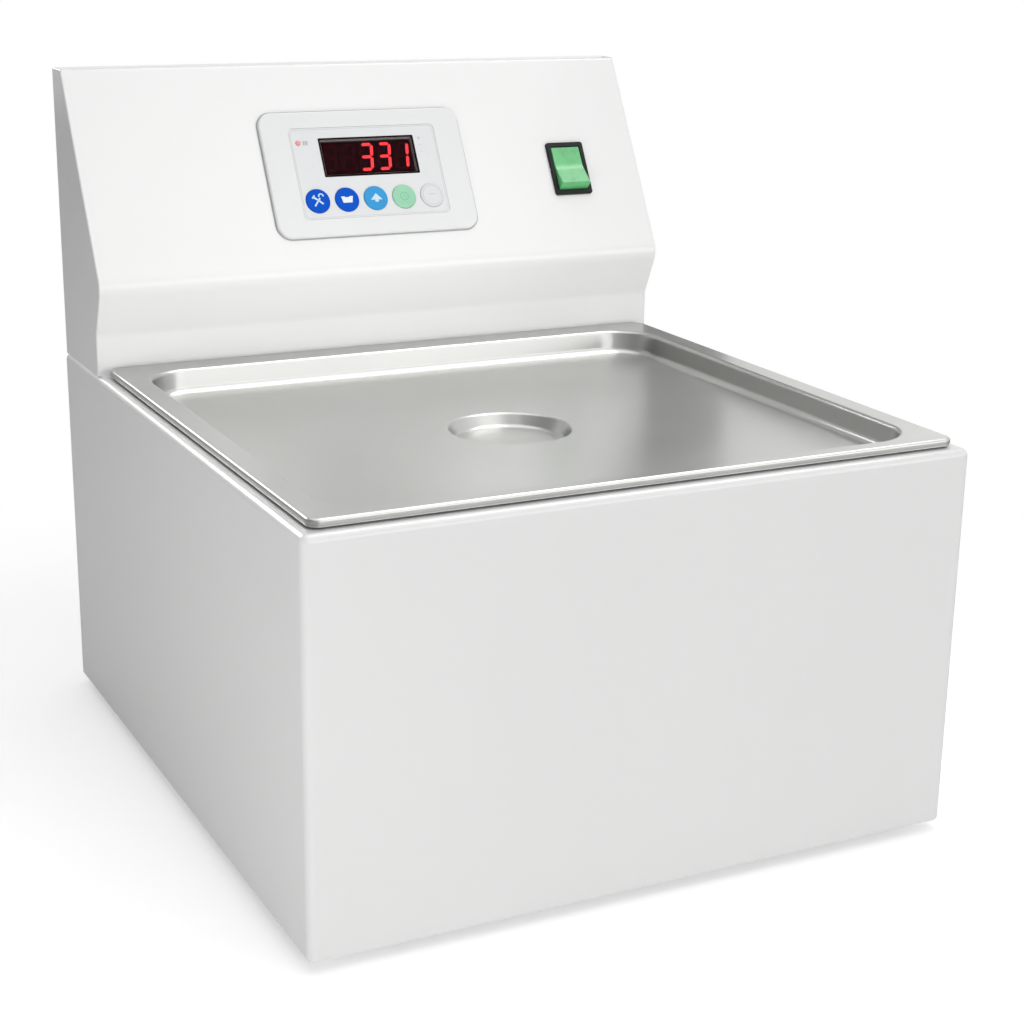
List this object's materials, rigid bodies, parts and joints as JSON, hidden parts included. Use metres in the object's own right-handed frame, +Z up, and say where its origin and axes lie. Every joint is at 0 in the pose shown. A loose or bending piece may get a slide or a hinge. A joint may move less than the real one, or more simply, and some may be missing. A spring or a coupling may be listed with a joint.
{
  "type": "laboratory water bath",
  "caption": "Bench water bath: a white sheet-metal box with a sunken steel lid over a heated tank, and a sloping console with a digital controller and a lit rocker switch.",
  "frame": {"origin": "on the floor, under the middle of the whole footprint", "axes": "+X to the user's right, +Y to the back, +Z up; the console stands at the back"},
  "size_m": [0.366, 0.4072, 0.3852],
  "materials": {
    "casing_paint": "smooth white powder coat",
    "lid_steel": "satin stainless steel, drawn and brushed",
    "tank_steel": "satin stainless steel",
    "zinc_steel": "zinc-plated sheet",
    "screw_steel": "bright plated steel",
    "foot_rubber": "matt black rubber",
    "gasket_rubber": "soft silicone strip",
    "mineral_wool": "coarse mineral fibre",
    "heater_steel": "dull stainless tube",
    "brass": "plain brass",
    "frame_white": "semi-gloss moulded plastic",
    "overlay_film": "fine matt printed film",
    "window_red": "clear dark red plastic",
    "module_black": "matt black",
    "segment_lit": "lit red",
    "segment_dark": "unlit red",
    "lamp_red": "clear red",
    "key_blue": "soft gloss film over a cap",
    "key_sky": "soft gloss film over a cap",
    "key_green": "soft gloss film over a cap",
    "key_grey": "soft gloss film over a cap",
    "black_plastic": "fine-grained black plastic",
    "board_green": "printed board",
    "rocker_green": "clear green plastic, lit from inside",
    "fuse_glass": "glass tube with nickel caps",
    "sink_aluminium": "extruded, plain",
    "block_white": "natural nylon",
    "lead_sheath": "silicone insulation",
    "loom_sheath": "braided sleeve"
  },
  "bodies": {
    "casing": {"outer_casing": "casing_paint", "base_plate": "casing_paint", "rear_panel": "casing_paint", "console_shell": "casing_paint", "console_rear_cover": "casing_paint", "casing_screws": "screw_steel", "console_screws": "screw_steel", "fitting_screws": "screw_steel", "foot_screws": "screw_steel", "foot_nuts": "screw_steel", "foot_front_left": "foot_rubber", "foot_front_right": "foot_rubber", "foot_rear_left": "foot_rubber", "foot_rear_right": "foot_rubber", "tank_gasket": "gasket_rubber", "bath_tank": "tank_steel", "tank_clips": "zinc_steel", "wool_jacket": "mineral_wool", "wool_base": "mineral_wool", "support_rails": "zinc_steel", "heater_element": "heater_steel", "heater_glands": "brass", "heater_nuts": "brass", "temperature_probe": "heater_steel", "overheat_cutout": "black_plastic", "controller_frame": "frame_white", "controller_overlay": "overlay_film", "display_window": "window_red", "display_module": "module_black", "lit_segments": "segment_lit", "dark_segments": "segment_dark", "status_lamp": "lamp_red", "controller_housing": "black_plastic", "controller_board": "board_green", "key_switches": "black_plastic", "panel_clamps": "black_plastic", "switch_housing": "black_plastic", "rocker_pivot_pin": "screw_steel", "switch_blades": "brass", "inlet_socket": "black_plastic", "inlet_pins": "brass", "heat_sink": "sink_aluminium", "relay": "black_plastic", "relay_terminals": "brass", "terminal_block": "block_white", "block_terminals": "brass", "earth_stud": "brass", "mains_leads": "lead_sheath", "heater_leads": "lead_sheath", "control_loom": "loom_sheath"},
    "lid": {"lid": "lid_steel"},
    "perforated_shelf": {"perforated_shelf": "tank_steel"},
    "power_rocker": {"power_rocker": "rocker_green"},
    "fuse_drawer": {"fuse_drawer": "black_plastic", "fuses": "fuse_glass"},
    "set_key": {"set_key": "key_blue"},
    "down_key": {"down_key": "key_blue"},
    "up_key": {"up_key": "key_sky"},
    "timer_key": {"timer_key": "key_green"},
    "stop_key": {"stop_key": "key_grey"}
  },
  "joints": [
    {"name": "lid_lift", "type": "slide", "parent": "casing", "child": "lid", "axis": [0, -0.2588, 0.9659], "range_m": [0, 0.2]},
    {"name": "shelf_lift", "type": "slide", "parent": "casing", "child": "perforated_shelf", "axis": [0, 0, 1], "range_m": [0, 0.075]},
    {"name": "rocker_tilt", "type": "hinge", "parent": "casing", "child": "power_rocker", "pos_m": [0.1316, 0.14617, 0.31865], "axis": [1, 0, 0], "range_deg": [0, 24]},
    {"name": "fuse_drawer_slide", "type": "slide", "parent": "casing", "child": "fuse_drawer", "axis": [0, 1, 0], "range_m": [0, 0.018]},
    {"name": "set_key_press", "type": "slide", "parent": "casing", "child": "set_key", "axis": [0, 0.8719, -0.4897], "range_m": [0, 0.0005], "stiffness_N_per_m": 400},
    {"name": "down_key_press", "type": "slide", "parent": "casing", "child": "down_key", "axis": [0, 0.8719, -0.4897], "range_m": [0, 0.0005], "stiffness_N_per_m": 400},
    {"name": "up_key_press", "type": "slide", "parent": "casing", "child": "up_key", "axis": [0, 0.8719, -0.4897], "range_m": [0, 0.0005], "stiffness_N_per_m": 400},
    {"name": "timer_key_press", "type": "slide", "parent": "casing", "child": "timer_key", "axis": [0, 0.8719, -0.4897], "range_m": [0, 0.0005], "stiffness_N_per_m": 400},
    {"name": "stop_key_press", "type": "slide", "parent": "casing", "child": "stop_key", "axis": [0, 0.8719, -0.4897], "range_m": [0, 0.0005], "stiffness_N_per_m": 400}
  ]
}
